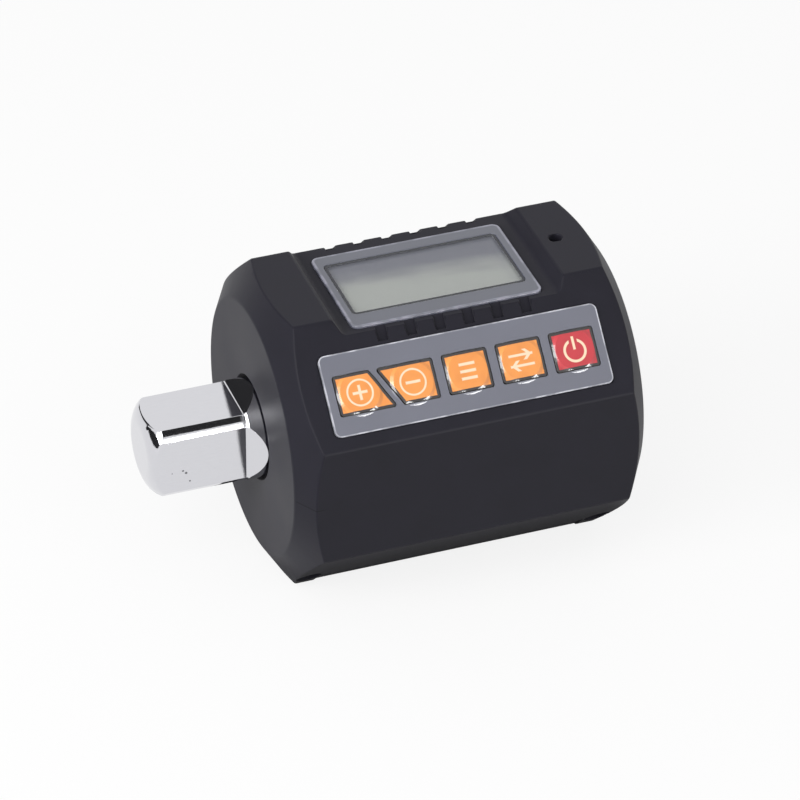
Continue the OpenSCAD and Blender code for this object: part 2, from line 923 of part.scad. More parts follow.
module display_window() {
    color([0.8, 0.84, 0.86, 0.4])
        raise(lens_low_z, plate_top_z - lens_sink) window_outline(-plate_fit / 2);
}

module lcd_panel() {
    glass_t = lcd_t * lcd_glass_share;
    color([0.62, 0.66, 0.62])
        union() {
            raise(lcd_low_z + glass_t, lcd_top_z) window_outline(-plate_fit);
            raise(lcd_low_z, lcd_low_z + glass_t + bond) window_outline(lcd_margin);
        }
}

module lcd_connectors() {
    color("dimgray")
        for (side = [-1, 1])
            translate([
                mid + window_shift[0] - lcd_l / 2 + zebra_end_gap,
                window_shift[1] + side * (lcd_w / 2 - zebra_w) - zebra_w / 2,
                board_top_z
            ])
                cube([lcd_l - 2 * zebra_end_gap, zebra_w, lcd_low_z - board_top_z]);
}

module circuit_board() {
    color(board_colour)
        difference() {
            translate([board_x0, -board_half_w, board_low_z])
                cube([board_x1 - board_x0, 2 * board_half_w, board_t]);
            board_places()
                translate([0, 0, board_low_z - overrun])
                    cylinder(h = board_t + 2 * overrun, r = board_screw_r + stake_fit);
        }
}

module board_screws() {
    color("silver")
        board_places() {
            translate([0, 0, board_low_z - board_head_t])
                cylinder(h = board_head_t, r = board_head_r);
            translate([0, 0, board_low_z - bond])
                cylinder(h = board_t + board_screw_bite, r = board_screw_r);
        }
}

// Parts on the underside of the main board, as shares of its length and width
chip_shares = [[0.34, 0.05], [0.68, -0.25], [0.78, 0.4], [0.16, -0.35], [0.56, 0.6]];
chip_sizes = [[9, 9, 1.4], [5, 4, 1.4], [7.5, 3, 2.6], [3.2, 2.5, 1.2], [6, 2.2, 2]];

module board_components() {
    color([0.12, 0.12, 0.13])
        for (i = [0:len(chip_sizes) - 1]) {
            chip = chip_sizes[i];
            share = chip_shares[i];
            translate([
                board_x0 + share[0] * (board_x1 - board_x0) - chip[0] / 2,
                share[1] * board_half_w - chip[1] / 2,
                board_low_z - chip[2]
            ])
                cube(chip);
        }
}

module buzzer() {
    color([0.1, 0.1, 0.11])
        translate([sound_hole_x, 0, board_top_z])
            difference() {
                cylinder(h = buzzer_h, r = buzzer_r);
                translate([0, 0, buzzer_h / 2]) cylinder(h = buzzer_h, r = sound_hole_r);
            }
}

// The round cushion embossed in the film, which a key and the overlay round it share
module cushion(k) {
    translate([mid, 0, 0]) rotate([eighth_turn, 0, 0])
        translate([key_mids[k][0], key_mids[k][1], label_top - bond])
            cylinder(h = cushion_h + bond, r1 = cushion_r, r2 = cushion_r - cushion_rim);
}

module keypad_overlay() {
    color(label_colour)
        difference() {
            union() {
                on_keypad(label_low, label_top) label_outline();
                for (k = [0:len(key_mids) - 1])
                    cushion(k);
            }
            on_keypad(label_low - overrun, label_top + cushion_h + overrun)
                for (k = [0:len(key_mids) - 1])
                    key_outline(k, key_gap);
        }
}

// A key's pad with its embossed cushion, its flange under the overlay, and its plunger
module key(k) {
    on_keypad(flange_low, label_top) key_outline(k);
    on_keypad(flange_low, flange_top) key_outline(k, flange_w);
    on_keypad(plunger_end, flange_low + bond) translate(key_mids[k]) circle(plunger_r);
    intersection() {
        on_keypad(label_top - bond, label_top + cushion_h + bond) key_outline(k);
        cushion(k);
    }
}

module key_plus() {
    color(key_colour) key(0);
}

module key_minus() {
    color(key_colour) key(1);
}

module key_mode() {
    color(key_colour) key(2);
}

module key_unit() {
    color(key_colour) key(3);
}

module key_power() {
    color(power_colour) key(4);
}

module dome_switches() {
    color("silver")
        for (k = [0:len(key_mids) - 1]) {
            on_keypad(keypad_board_top, keypad_board_top + switch_h / 2)
                translate(key_mids[k]) circle(switch_r);
            on_keypad(keypad_board_top, switch_top)
                translate(key_mids[k]) circle(switch_r / 2);
        }
}

module keypad_board() {
    color(board_colour)
        on_keypad(keypad_board_low, keypad_board_top)
            difference() {
                keypad_board_outline();
                stakes() circle(stake_r + stake_fit);
            }
}

// A flat strip of thickness t along a line of points
function ribbon(pts, t) =
    let (
        n = len(pts),
        side = [
            for (i = [0:n - 1])
                let (d = unit(pts[min(i + 1, n - 1)] - pts[max(i - 1, 0)]))
                [-d[1], d[0]] * t / 2
        ]
    )
    concat(
        [for (i = [0:n - 1]) pts[i] + side[i]],
        [for (i = [1:n]) pts[n - i] - side[n - i]]
    );

// Points of a bend, as shares of its width and of its height
keypad_bend_shares = [[0, 0], [0.6, 0.65], [1, 1]];
gauge_bend_shares = [[0, 0], [0.2, 0.1], [0.36, 0.36], [0.44, 0.64], [0.6, 0.9], [0.8, 1], [1, 1]];

function bend(from, to, shares) =
    [for (s = shares) [mix(from[0], to[0], s[0]), mix(from[1], to[1], s[1])]];

// From the back of the keypad board to the underside of the main board
module keypad_flex() {
    flex_d = keypad_board_low - flex_t / 2;
    top_v = keys_v + keypad_board_w / 2;
    back = [-flex_d, flex_d] / sqrt(2);
    up = [1, 1] / sqrt(2);
    end_z = board_low_z - flex_t / 2;
    start = back + up * (top_v - flex_w);
    leave = back + up * top_v;
    arrive = [leave[0] + (end_z - leave[1]) + flex_t * 3, end_z];
    color("orange")
        along_x(mid + flex_w / 2, mid + 2 * flex_w)
            polygon(ribbon(
                concat([start], bend(leave, arrive, keypad_bend_shares), [arrive + [flex_w, 0]]),
                flex_t
            ));
}

module strain_gauges() {
    color([0.85, 0.6, 0.3])
        for (a = [0:90:270])
            rotate([a, 0, 0])
                translate([gauge_mid_x - patch_l / 2, -patch_w / 2, gauge_flat])
                    cube([patch_l, patch_w, patch_t]);
}

// From the upper strain gauge to the underside of the main board
module gauge_flex() {
    low_z = gauge_flat + patch_t + flex_t / 2;
    high_z = board_low_z - flex_t / 2;
    leave = [gauge_mid_x, low_z];
    arrive = [gauge_mid_x + high_z - low_z, high_z];
    color("orange")
        across_y(flex_w)
            polygon(ribbon(
                concat([leave - [patch_l / 3, 0]], bend(leave, arrive, gauge_bend_shares)),
                flex_t
            ));
}

// A cell from its flat end at 0 to its nub, along +X
module cell() {
    about_x() polygon(concat(
        [[0, 0]],
        arc(cell_r - cell_round, cell_round, cell_round, -90, 0),
        arc(cell_r - cell_round, cell_len - nub_h - cell_round, cell_round, 0, 90),
        [[nub_r, cell_len - nub_h], [nub_r, cell_len], [0, cell_len]]
    ));
}

module battery_front() {
    color("goldenrod")
        translate([bay_x1 - contact_t - bond - cell_len, -cell_y, cell_z]) cell();
}

module battery_rear() {
    color("goldenrod")
        translate([bay_x0 + contact_t + bond + cell_len, cell_y, cell_z]) rotate([0, 0, 180]) cell();
}

module battery_spring() {
    coil(battery_spring_r0, battery_spring_r1, spring_room, battery_spring_turns, battery_wire_r);
}

module battery_springs() {
    color("silver") {
        translate([bay_x0 + contact_t + bond, -cell_y, cell_z]) rotate([0, 90, 0])
            battery_spring();
        translate([bay_x1 - contact_t - bond, cell_y, cell_z]) rotate([0, -90, 0])
            battery_spring();
    }
}

// One bridging plate at the socket end, two plates with solder tails at the drive end
module battery_contacts() {
    low = bay_low_z + contact_low_gap;
    half = bay_half_w - contact_side_gap;
    plate_h = bay_top_z - bond - low;
    color("silver") {
        translate([bay_x1 - contact_t, -half, low]) cube([contact_t, 2 * half, plate_h]);
        for (side = [0, 1])
            mirror([0, side, 0])
                translate([bay_x0 + bond / 2, contact_side_gap, low])
                    cube([contact_t, half - contact_side_gap, plate_h]);
        tail_places()
            translate([bond / 2, -tail_w / 2, -overrun])
                cube([contact_t, tail_w, bay_roof + tail_h + overrun]);
    }
}

// Rings of a round wire along a route, square to it
function wire_rings(route, r) =
    let (n = len(route))
    [for (i = [0:n - 1])
        let (
            d = unit(route[min(i + 1, n - 1)] - route[max(i - 1, 0)]),
            u = unit(cross(d, [1, 0, 0])),
            v = cross(d, u)
        )
        [for (k = [0:lead_sides - 1])
            let (a = -360 * k / lead_sides)
            route[i] + r * (u * cos(a) + v * sin(a))]];

// Points of a lead, as shares of its way out to the shell's side (along the shaft, then
// sideways) and of its climb. The first row starts at the tail, the second at the board.
lead_out_shares = [
    [0.5, 0.04, 0.01], [1, 0.2, 0.02], [1, 0.5, 0.04], [1, 0.86, 0.12], [1, 1, 0.24], [1, 1, 0.36]
];
lead_in_shares = [[1, 0.97, 0.55], [1, 0.85, 0.71], [1, 0.5, 0.86], [0, 0, 0.965]];

// Leads from the solder tails past the shaft to the main board
module battery_leads() {
    tail = [
        bay_x0 + contact_t + lead_r / 2,
        bay_half_w - tail_from_side,
        bay_top_z + bay_roof + tail_h / 2
    ];
    side_y = half_flats - wall - 3 * lead_r - boss_r;
    clear_x = screw_x[0] + boss_r + 3 * lead_r;
    end = [clear_x + 2 * lead_r, board_half_w - 2 * board_hole_inset, board_low_z - bond];
    route = concat(
        [tail],
        lead_points(tail, clear_x, side_y, tail[2], end[2], lead_out_shares),
        lead_points(end, clear_x, side_y, tail[2], end[2], lead_in_shares),
        [end]
    );
    color([0.7, 0.1, 0.1])
        for (side = [0, 1])
            mirror([0, side, 0]) skin(wire_rings(route, lead_r));
}

function lead_points(from, x, y, low_z, high_z, shares) =
    [for (s = shares) [mix(from[0], x, s[0]), mix(from[1], y, s[1]), mix(low_z, high_z, s[2])]];

module battery_cover() {
    tongue_z = bay_low_z + tongue_lift;
    color(housing_colour)
        translate(tilt_axis) rotate([0, cover_open, 0])
            translate(-tilt_axis)
                union() {
                    difference() {
                        intersection() {
                            housing_form(cover_gap, 0);
                            translate([cover_x0, -reach, -reach])
                                cube([cover_x1 - cover_x0, 2 * reach, reach + cover_top_z]);
                        }
                        housing_form(cover_gap + cover_t, 0);
                        grip_grooves();
                        tilt_edge();
                    }
                    translate([cover_x0 - tongue_reach, -tongue_w / 2, tongue_z])
                        cube([tongue_reach + cover_t, tongue_w, tongue_t]);
                    translate([cover_x0, -tongue_w / 2, tilt_axis[2]])
                        cube([cover_t, tongue_w, tongue_z + tongue_t - tilt_axis[2]]);
                }
}

// What rounds the cover's lower edge at the drive end, on which it tilts
module tilt_edge() {
    difference() {
        translate([cover_x0 - overrun, -reach, cover_low_z - overrun])
            cube([overrun + cover_round, 2 * reach, overrun + cover_round]);
        translate(tilt_axis) rotate([90, 0, 0])
            cylinder(h = 3 * reach, r = cover_round, center = true);
    }
}

// Grooves that give the thumb a hold at the cover's free end
module grip_grooves() {
    for (i = [0:grip_rib_count - 1])
        translate([cover_x1 - grip_from_end - i * grip_rib_pitch, -grip_rib_l / 2, -half_flats])
            cube([grip_rib_w, grip_rib_l, cover_gap + grip_rib_depth]);
}

module housing_screws() {
    color("dimgray")
        for (x = screw_x, side = [-1, 1])
            translate([x, side * screw_y, screw_seat_z]) {
                cylinder(h = screw_tip_z - screw_seat_z, r = screw_r);
                translate([0, 0, -screw_head_t])
                    difference() {
                        cylinder(h = screw_head_t, r = screw_head_r);
                        for (a = [0, 90])
                            rotate([0, 0, a])
                                translate([-screw_head_r / 2, -screw_r / 4, -overrun])
                                    cube([screw_head_r, screw_r / 2, overrun + screw_head_t / 2]);
                    }
            }
}

upper_shell();
lower_shell();
torsion_shaft();
neck_bush();
detent_ball();
detent_spring();
display_bezel();
display_window();
lcd_panel();
lcd_connectors();
circuit_board();
board_components();
board_screws();
buzzer();
keypad_overlay();
key_plus();
key_minus();
key_mode();
key_unit();
key_power();
dome_switches();
keypad_board();
keypad_flex();
strain_gauges();
gauge_flex();
battery_front();
battery_rear();
battery_springs();
battery_contacts();
battery_leads();
battery_cover();
housing_screws();
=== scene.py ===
"""Looks of a digital torque adapter: finishes, softened edges, printed signs and the studio.

Lengths are in metres and angles in degrees, apart from the patterns of the finishes, which
are written in millimetres. The shaft lies along X, the display faces +Z and the keypad faces
the sloping side towards -Y, as in the CAD frame.
"""

import json
import math

import bmesh
import bpy
from mathutils import Matrix, Vector

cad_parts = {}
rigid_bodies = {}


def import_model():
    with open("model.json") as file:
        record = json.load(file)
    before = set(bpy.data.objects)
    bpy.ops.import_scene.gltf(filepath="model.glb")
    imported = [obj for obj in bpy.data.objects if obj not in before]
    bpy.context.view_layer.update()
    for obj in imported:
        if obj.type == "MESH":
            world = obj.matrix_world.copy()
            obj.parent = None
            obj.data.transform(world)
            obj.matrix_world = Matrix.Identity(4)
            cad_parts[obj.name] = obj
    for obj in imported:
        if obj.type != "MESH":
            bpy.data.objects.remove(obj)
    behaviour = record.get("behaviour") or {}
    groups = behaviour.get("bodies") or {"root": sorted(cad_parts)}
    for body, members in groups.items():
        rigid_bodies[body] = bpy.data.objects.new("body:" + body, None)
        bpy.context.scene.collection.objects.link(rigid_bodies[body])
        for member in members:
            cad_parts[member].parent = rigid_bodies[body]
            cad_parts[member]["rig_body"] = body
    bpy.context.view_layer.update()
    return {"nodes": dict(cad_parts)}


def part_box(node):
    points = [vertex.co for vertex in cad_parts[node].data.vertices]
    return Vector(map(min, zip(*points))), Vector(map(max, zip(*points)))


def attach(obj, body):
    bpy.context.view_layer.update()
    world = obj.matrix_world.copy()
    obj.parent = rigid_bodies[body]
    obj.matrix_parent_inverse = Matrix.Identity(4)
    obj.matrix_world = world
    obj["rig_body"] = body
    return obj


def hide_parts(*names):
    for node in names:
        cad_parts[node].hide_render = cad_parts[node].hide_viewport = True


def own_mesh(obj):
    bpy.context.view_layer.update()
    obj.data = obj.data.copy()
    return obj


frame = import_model()
nodes = frame["nodes"]

MM = 0.001
SLOPE = math.sqrt(0.5)

# The housing and the sloping keypad plane
HOUSING_MID = (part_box("upper_shell")[0].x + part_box("upper_shell")[1].x) / 2
HOUSING_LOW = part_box("lower_shell")[0].z
MID_MM = HOUSING_MID / MM


def srgb(red, green, blue):
    """A colour given as 0 to 255, as Blender's linear numbers."""
    def linear(value):
        share = value / 255
        return share / 12.92 if share <= 0.04045 else ((share + 0.055) / 1.055) ** 2.4

    return (linear(red), linear(green), linear(blue), 1)


class Signal:
    """A shader socket that can stand in a formula."""

    def __init__(self, finish, socket):
        self.finish = finish
        self.socket = socket

    def __add__(self, other):
        return self.finish.maths("ADD", self, other)

    def __radd__(self, other):
        return self.finish.maths("ADD", other, self)

    def __sub__(self, other):
        return self.finish.maths("SUBTRACT", self, other)

    def __rsub__(self, other):
        return self.finish.maths("SUBTRACT", other, self)

    def __mul__(self, other):
        return self.finish.maths("MULTIPLY", self, other)

    def __rmul__(self, other):
        return self.finish.maths("MULTIPLY", other, self)

    def __truediv__(self, other):
        return self.finish.maths("DIVIDE", self, other)

    def __lt__(self, other):
        return self.finish.maths("LESS_THAN", self, other)

    def __gt__(self, other):
        return self.finish.maths("GREATER_THAN", self, other)

    def __abs__(self):
        return self.finish.maths("ABSOLUTE", self)


class Patch:
    """An empty node tree with its output, and the methods that add nodes to it."""

    def __init__(self, tree, output):
        self.tree = tree
        self.tree.nodes.clear()
        self.output = self.tree.nodes.new(output)

    def node(self, kind, settings=None, inputs=None, out=0):
        """Adds a node with its settings made first and its sockets linked or given values."""
        made = self.tree.nodes.new(kind)
        for name, value in (settings or {}).items():
            setattr(made, name, value)
        for key, value in (inputs or {}).items():
            self.connect(value, made.inputs[key])
        return Signal(self, made.outputs[out])

    def connect(self, value, socket):
        if isinstance(value, Signal):
            self.tree.links.new(value.socket, socket)
        else:
            socket.default_value = value

    def maths(self, operation, *values):
        return self.node("ShaderNodeMath", {"operation": operation}, dict(enumerate(values)))

    def smallest(self, first, *rest):
        for value in rest:
            first = self.maths("MINIMUM", first, value)
        return first

    def largest(self, first, *rest):
        for value in rest:
            first = self.maths("MAXIMUM", first, value)
        return first

    def length(self, a, b):
        return self.maths("SQRT", a * a + b * b)

    def fade(self, value, low, high):
        """0 below low and 1 above high, with a smooth change between them."""
        return self.node(
            "ShaderNodeMapRange",
            {"interpolation_type": "SMOOTHSTEP"},
            {"Value": value, "From Min": low, "From Max": high},
        )

    def mix(self, share, first, second):
        return self.node(
            "ShaderNodeMix", {"data_type": "RGBA"}, {0: share, 6: first, 7: second}, out=2
        )

    def blend(self, share, first, second):
        """Ends the tree in a mixture of two shaders."""
        mixed = self.node("ShaderNodeMixShader", {}, {0: share, 1: first, 2: second})
        self.connect(mixed, self.output.inputs[0])

    def looked_at(self):
        """1 where a surface is seen directly, or in gloss or through glass, and 0 for its light."""
        rays = ("Is Camera Ray", "Is Glossy Ray", "Is Transmission Ray")
        return self.largest(*[self.node("ShaderNodeLightPath", out=ray) for ray in rays])


class Finish(Patch):
    """One material and the nodes that make its colour, gloss and relief."""

    def __init__(self, name, **constants):
        self.material = bpy.data.materials.new(name)
        self.material.use_nodes = True
        super().__init__(self.material.node_tree, "ShaderNodeOutputMaterial")
        self.shader = self.tree.nodes.new("ShaderNodeBsdfPrincipled")
        self.tree.links.new(self.shader.outputs[0], self.output.inputs[0])
        place = self.node("ShaderNodeTexCoord", out="Object")
        self.place = self.node(
            "ShaderNodeVectorMath", {"operation": "SCALE"}, {0: place, "Scale": 1 / MM}
        )
        self.x, self.y, self.z = (
            self.node("ShaderNodeSeparateXYZ", {}, {0: self.place}, out=i) for i in range(3)
        )
        self.set(**constants)

    def set(self, **values):
        """Sets sockets of the main shader, such as base_color or roughness."""
        for name, value in values.items():
            title = name.replace("_", " ").title().replace("Ior", "IOR")
            self.connect(value, self.shader.inputs[title])
        return self

    def noise(self, per_mm, detail=2, stretch=(1, 1, 1), roughness=0.5):
        """Smooth noise from 0 to 1, with about per_mm blotches in a millimetre."""
        stretched = self.node(
            "ShaderNodeVectorMath", {"operation": "MULTIPLY"}, {0: self.place, 1: stretch}
        )
        return self.node(
            "ShaderNodeTexNoise",
            {},
            {"Vector": stretched, "Scale": per_mm, "Detail": detail, "Roughness": roughness},
        )

    def relief(self, height, depth, strength=1):
        """Bumps of that depth in millimetres, on the main shader's normal."""
        bump = self.node(
            "ShaderNodeBump", {}, {"Height": height, "Distance": depth * MM, "Strength": strength}
        )
        return self.set(normal=bump)

    def keypad_plane(self):
        """Distances along and up the sloping keypad face, from its middle."""
        return self.x - MID_MM, (self.y + self.z) * SLOPE


def box_distance(finish, a, b, half_a, half_b, corner=0):
    """Distance from a rounded rectangle about (0, 0), below 0 inside it."""
    over_a = abs(a) - (half_a - corner)
    over_b = abs(b) - (half_b - corner)
    outside = finish.length(finish.largest(over_a, 0), finish.largest(over_b, 0))
    inside = finish.smallest(finish.largest(over_a, over_b), 0)
    return outside + inside - corner


# The line where the shells meet, which shows on the bevel at the drive end
SEAM_LINE_MM = (0.04, 0.1)
BEVEL_START_MM = (0.05, 0.3)
BEVEL_END_MM = (3, 4.5)


def moulded_plastic(name, tone=(29, 28, 37)):
    """Charcoal plastic with the fine dull grain of a mould."""
    made = Finish(name, specular_ior_level=0.12, sheen_weight=0.08, sheen_roughness=0.5)
    cloud = made.noise(0.12, detail=3)
    speck = made.noise(9, detail=2)
    bevel = made.fade(made.x, *BEVEL_START_MM) * (1 - made.fade(made.x, *BEVEL_END_MM))
    seam = (1 - made.fade(abs(made.z), *SEAM_LINE_MM)) * bevel
    shade = made.mix(cloud, srgb(*[0.88 * c for c in tone]), srgb(*[1.14 * c for c in tone]))
    shade = made.mix(made.fade(speck, 0.55, 0.8) * 0.18, shade, srgb(*[1.5 * c for c in tone]))
    shade = made.mix(seam * 0.6, shade, srgb(8, 8, 9))
    made.set(base_color=shade, roughness=0.44 + cloud * 0.12 + speck * 0.06 + seam * 0.2)
    return made.relief(made.noise(5.5, detail=3), 0.012)


def printed_film(name, tone, outline, highlight_mm, highlight_tone):
    """Slate printing under a clear, slightly glossy film, with a painted highlight along its cut
    edge.

    The outline is a function that gives the distance from the film's edge.
    """
    made = Finish(name, specular_ior_level=0.4, coat_weight=1, coat_roughness=0.06)
    across = made.noise(0.09, detail=1)
    fleck = made.noise(14, detail=1)
    slate = made.mix(across, srgb(*[0.95 * c for c in tone]), srgb(*[1.06 * c for c in tone]))
    slate = made.mix(made.fade(fleck, 0.5, 0.85) * 0.2, slate, srgb(*[1.25 * c for c in tone]))
    # Painted highlight: the film is paled along its cut edge as if the edge caught the light,
    # broken into dashes by noise
    rim = made.fade(outline(made), -highlight_mm, -0.5 * highlight_mm)
    highlight_breaks = made.fade(made.noise(0.35, detail=2), 0.38, 0.62) * 0.65 + 0.25
    slate = made.mix(rim * highlight_breaks, slate, srgb(*highlight_tone))
    made.set(base_color=slate, roughness=0.34 + fleck * 0.08)
    return made.relief(made.noise(2.2, detail=2), 0.002)


# The keypad's label, in its own plane, and the plate round the display: middle, then half
# length, half width and corner, in millimetres
LABEL_MID = (-0.15, -1.55)
LABEL_SIZE = (23.2, 6.55, 1.1)
PLATE_MID = (29.1, -0.85)
PLATE_SIZE = (16, 10.35, 1.3)


def label_outline(made):
    along, up = made.keypad_plane()
    return box_distance(made, along - LABEL_MID[0], up - LABEL_MID[1], *LABEL_SIZE)


def plate_outline(made):
    return box_distance(made, made.x - PLATE_MID[0], made.y - PLATE_MID[1], *PLATE_SIZE)


# Small pits in the plating of the drive's front flat: place along X and Z, and radius
PITS_MM = ((-13.5, -1.1, 0.16), (-13.0, -1.6, 0.2), (-12.4, -3.3, 0.14), (-15.3, -1.25, 0.08))
FRONT_FLAT_MM = -6


def polished_chrome(name):
    """Bright plating with faint polishing lines and a few pits."""
    made = Finish(name, metallic=1)
    lines = made.noise(3, detail=3, stretch=(0.25, 5, 5))
    ragged = made.noise(6) * 0.16 - 0.08
    edges = [made.length(made.x - x, made.z - z) + ragged - radius for x, z, radius in PITS_MM]
    pits = (1 - made.fade(made.smallest(*edges), -0.04, 0.06)) * (made.y < FRONT_FLAT_MM)
    bright = made.mix(lines, srgb(207, 207, 212), srgb(217, 217, 221))
    made.set(
        base_color=made.mix(pits * 0.8, bright, srgb(58, 58, 64)),
        roughness=0.035 + lines * 0.05 + pits * 0.3,
    )
    return made.relief(lines * 0.2 - pits, 0.01)


def turned_steel(name, tone, roughness, rings=2.5):
    """Plain metal with fine turning or drawing marks."""
    made = Finish(name, metallic=1)
    marks = made.noise(rings, detail=2, stretch=(4, 0.6, 0.6))
    made.set(
        base_color=made.mix(marks, srgb(*[0.9 * c for c in tone]), srgb(*tone)),
        roughness=roughness + marks * 0.1,
    )
    return made.relief(marks, 0.004)


def plain_plastic(name, tone, roughness, grain=3):
    """Any moulded or coated part inside the housing."""
    made = Finish(name)
    cloud = made.noise(grain, detail=2)
    made.set(
        base_color=made.mix(cloud, srgb(*[0.92 * c for c in tone]), srgb(*tone)),
        roughness=roughness + cloud * 0.08,
    )
    return made.relief(cloud, 0.01)


def circuit_laminate(name):
    """Green board with the weave of its glass cloth just showing."""
    made = Finish(name, coat_weight=0.3)
    weave = made.node(
        "ShaderNodeTexChecker",
        {},
        {"Vector": made.place, "Scale": 2, "Color1": srgb(22, 92, 52), "Color2": srgb(27, 104, 60)},
    )
    made.set(base_color=weave, roughness=0.35 + made.noise(2) * 0.1)
    return made.relief(made.noise(6), 0.01)


# Where the copper end of both cells' sleeves starts
COPPER_FROM_MM = MID_MM + 8


def cell_sleeve(name):
    """Printed sleeve of a battery cell: black, with a copper end."""
    made = Finish(name, coat_weight=0.4)
    along = made.fade(made.x, COPPER_FROM_MM, COPPER_FROM_MM + 0.2)
    sleeve = made.mix(along, srgb(30, 30, 33), srgb(196, 140, 72))
    made.set(base_color=sleeve, roughness=0.25 + made.noise(4) * 0.1, metallic=along * 0.7)
    return made.relief(made.noise(1.5), 0.01)


# Liquid crystal panel and its clear window
WINDOW_LOW, WINDOW_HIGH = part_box("display_window")
WINDOW_MID = (WINDOW_LOW + WINDOW_HIGH) / 2 / MM
WINDOW_HALF = (WINDOW_HIGH - WINDOW_LOW) / 2 / MM
WINDOW_CORNER_MM = 0.8
WINDOW_LINE_MM = 0.45


def panel_glass(name):
    """Blank grey-green panel with a painted reflection: darker and bluer in its upper part and a
    little darker towards its right end.
    """
    made = Finish(name, specular_ior_level=0.3, coat_weight=0.3, coat_roughness=0.05)
    along = (made.x - WINDOW_MID.x) / WINDOW_HALF.x
    across = (made.y - WINDOW_MID.y) / WINDOW_HALF.y
    waves = made.noise(0.12, detail=1, stretch=(1, 2.5, 1)) * 0.5 - 0.25
    # Painted reflection: a soft, wavy-edged darkening over the panel's upper part and towards its
    # right end
    light = made.fade(waves - across - along * 0.11, -0.62, 0.3)
    light = light * (1 - made.fade(along, 0.75, 1) * 0.2)
    tone = made.mix(light, srgb(98, 99, 111), srgb(164, 167, 162))
    made.set(base_color=tone, roughness=0.4 + made.noise(8, detail=1) * 0.05)
    return made.relief(made.noise(12, detail=0), 0.002)


def clear_window(name):
    """Clear sheet with a printed dark line round the rim of its face."""
    made = Finish(name, roughness=0.06)
    edge = box_distance(
        made,
        made.x - WINDOW_MID.x,
        made.y - WINDOW_MID.y,
        WINDOW_HALF.x,
        WINDOW_HALF.y,
        WINDOW_CORNER_MM,
    )
    line = made.fade(edge, -WINDOW_LINE_MM - 0.05, -WINDOW_LINE_MM + 0.05)
    line = line * (made.z > WINDOW_HIGH.z / MM - 0.02)
    haze = made.noise(0.8, detail=2)
    made.set(
        base_color=made.mix(line, srgb(200, 204, 208), srgb(34, 36, 46)),
        alpha=made.largest(line * 0.96, 0.06 + haze * 0.03),
    )
    return made.relief(haze, 0.002)


# Keys and their signs, in millimetres along and up the keypad plane
KEY_UP = -1.75
KEY_HALF_H = 3.15
KEY_HALF_W = 3.625
KEY_CORNER = 0.45
KEY_LINE = 0.4
PAIR_LEFT = -21.75
PAIR_WIDTH = 16.35
PAIR_TOP_W = 5.875
PAIR_SLANT = 3.3
RING_RADIUS = 2.05
RING_LINE = 0.28
BAR_LINE = 0.42
BAR_HALF = 1.2
LIST_STEP = 1.15
LIST_HALF = (1.3, 0.22)
ARROW_UP = 0.85
ARROW_HALF = (2.0, 0.19)
HEAD_TIP = 1.5
HEAD_LINE = 0.3
POWER_RADIUS = 1.7
POWER_LINE = 0.2
POWER_GAP = 0.7
POWER_BAR_UP = 1.25
POWER_BAR_HALF = (0.2, 1.05)
ORANGE = (235, 142, 54)
RED = (188, 22, 38)
CREAM = (255, 226, 192)


def plain_pad(middle):
    """Edge distance of a plain key whose middle is that far along."""
    def distance(made, along, up):
        return box_distance(made, along - middle, up - KEY_UP, KEY_HALF_W, KEY_HALF_H, KEY_CORNER)

    return distance


def slanted_pad(turned):
    """Edge distance of the plus key, or of the minus key, which is the same shape turned."""
    slope = math.hypot(PAIR_SLANT, 2 * KEY_HALF_H)

    def distance(made, along, up):
        a = PAIR_LEFT * 2 + PAIR_WIDTH - along if turned else along
        b = KEY_UP - up if turned else up - KEY_UP
        slant = (
            (a - (PAIR_LEFT + PAIR_TOP_W)) * (2 * KEY_HALF_H) + (b - KEY_HALF_H) * PAIR_SLANT
        ) / slope
        return made.largest(PAIR_LEFT - a, slant, abs(b) - KEY_HALF_H)

    return distance


def ringed_sign(middle, up_bar):
    """A ring with a minus sign in it, or a plus sign."""
    def distance(made, along, up):
        a = along - middle
        b = up - KEY_UP
        ring = abs(made.length(a, b) - RING_RADIUS) - RING_LINE / 2
        bars = box_distance(made, a, b, BAR_HALF, BAR_LINE / 2)
        if up_bar:
            bars = made.smallest(bars, box_distance(made, a, b, BAR_LINE / 2, BAR_HALF))
        return made.smallest(ring, bars)

    return distance


def list_sign(middle):
    """Three bars, for choosing a mode."""
    def distance(made, along, up):
        a = along - middle
        b = up - KEY_UP
        rises = (-LIST_STEP, 0, LIST_STEP)
        bars = [box_distance(made, a, b - rise, *LIST_HALF) for rise in rises]
        return made.smallest(*bars)

    return distance


def swap_sign(middle):
    """Two arrows that point opposite ways, for changing the unit."""
    def distance(made, along, up):
        parts = []
        for way in (-1, 1):
            a = (along - middle) * way
            b = (up - KEY_UP) * way - ARROW_UP
            head = abs(a - HEAD_TIP + abs(b)) - HEAD_LINE
            parts.append(box_distance(made, a, b, *ARROW_HALF))
            parts.append(made.largest(head, abs(b) - ARROW_UP, 0.2 - a))
        return made.smallest(*parts)

    return distance


def power_sign(middle):
    """An open ring with a bar in its gap."""
    def distance(made, along, up):
        a = along - middle
        b = up - KEY_UP + 0.2
        ring = abs(made.length(a, b) - POWER_RADIUS) - POWER_LINE
        lower_half = made.fade(b * -1, -0.1, 0.1)
        gap = POWER_GAP - abs(a) - lower_half * 9
        bar = box_distance(made, a, b - POWER_BAR_UP, *POWER_BAR_HALF)
        return made.smallest(made.largest(ring, gap), bar)

    return distance


KEYS = {
    "key_plus": (ORANGE, slanted_pad(False), ringed_sign(-17.98, True)),
    "key_minus": (ORANGE, slanted_pad(True), ringed_sign(-9.24, False)),
    "key_mode": (ORANGE, plain_pad(-0.075), list_sign(-0.075)),
    "key_unit": (ORANGE, plain_pad(8.875), swap_sign(8.875)),
    "key_power": (RED, plain_pad(17.825), power_sign(17.825)),
}


